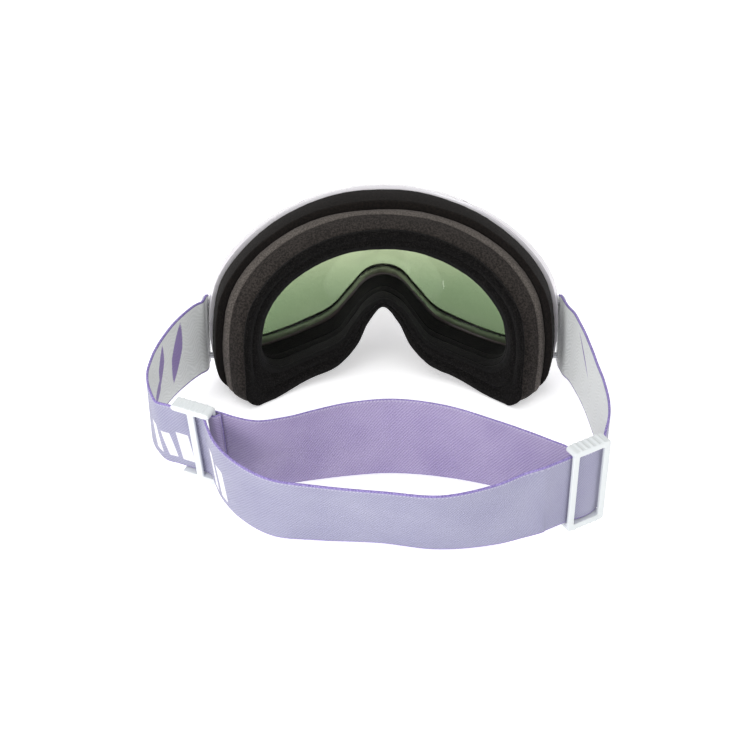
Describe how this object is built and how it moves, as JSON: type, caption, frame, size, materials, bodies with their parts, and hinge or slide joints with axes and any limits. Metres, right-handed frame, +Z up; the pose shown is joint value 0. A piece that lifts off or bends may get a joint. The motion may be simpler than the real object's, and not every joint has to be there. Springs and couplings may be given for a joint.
{
  "type": "ski goggles",
  "caption": "Ski goggles with a magnetic double lens, layered face foam and a wide elastic strap that adjusts at sliders.",
  "frame": {"origin": "middle of the whole object's box, on the surface that it rests on", "axes": "+Z up, -Y the way the lens looks, +Y towards the wearer and the strap, +X the wearer's left"},
  "size_m": [0.2158, 0.2156, 0.08],
  "materials": {
    "frame_white": "glossy white shell",
    "inner_frame_black": "satin black",
    "fleece": "short brushed pile",
    "foam_dark": "open cell foam",
    "foam_grey": "open cell foam",
    "foam_black": "open cell foam",
    "vent_foam": "open mesh foam",
    "gasket_black": "satin black",
    "lens_inner_green": "clear, lightly tinted",
    "spacer_foam": "closed foam tape",
    "lens_outer_green": "tinted with a mirror coat on the front",
    "hardware_white": "moulded, lightly glossy",
    "steel": "plain",
    "strap_lilac": "woven elastic"
  },
  "bodies": {
    "goggles": {"frame_shell": "frame_white", "inner_frame": "inner_frame_black", "face_fleece": "fleece", "foam_face": "foam_dark", "foam_middle": "foam_grey", "foam_base": "foam_black", "vent_foam_top": "vent_foam", "vent_foam_bottom_left": "vent_foam", "vent_foam_bottom_right": "vent_foam", "frame_magnet_brow_left": "steel", "frame_magnet_brow_right": "steel", "frame_magnet_side_left": "steel", "frame_magnet_side_right": "steel", "frame_magnet_cheek_left": "steel", "frame_magnet_cheek_right": "steel", "strap_clip_left": "hardware_white", "strap_clip_right": "hardware_white", "clip_rivet_lower_left": "steel", "clip_rivet_lower_right": "steel", "clip_rivet_upper_left": "steel", "clip_rivet_upper_right": "steel", "strap_outer": "strap_lilac", "strap_inner": "strap_lilac"},
    "lens": {"lens_gasket": "gasket_black", "lens_inner": "lens_inner_green", "lens_spacer": "spacer_foam", "lens_outer": "lens_outer_green", "lens_magnet_brow_left": "steel", "lens_magnet_brow_right": "steel", "lens_magnet_side_left": "steel", "lens_magnet_side_right": "steel", "lens_magnet_cheek_left": "steel", "lens_magnet_cheek_right": "steel"},
    "slider_left": {"slider_left": "hardware_white"},
    "slider_right": {"slider_right": "hardware_white"}
  },
  "joints": [
    {"name": "lens_release", "type": "slide", "parent": "goggles", "child": "lens", "axis": [0, -1, 0], "range_m": [0, 0.03]},
    {"name": "slider_left_slide", "type": "slide", "parent": "goggles", "child": "slider_left", "axis": [0.9052, -0.4251, 0], "range_m": [0, 0.01], "deforming": ["strap_inner"]},
    {"name": "slider_right_slide", "type": "slide", "parent": "goggles", "child": "slider_right", "axis": [0.8583, 0.5132, 0], "range_m": [0, 0.006], "deforming": ["strap_inner"]}
  ]
}
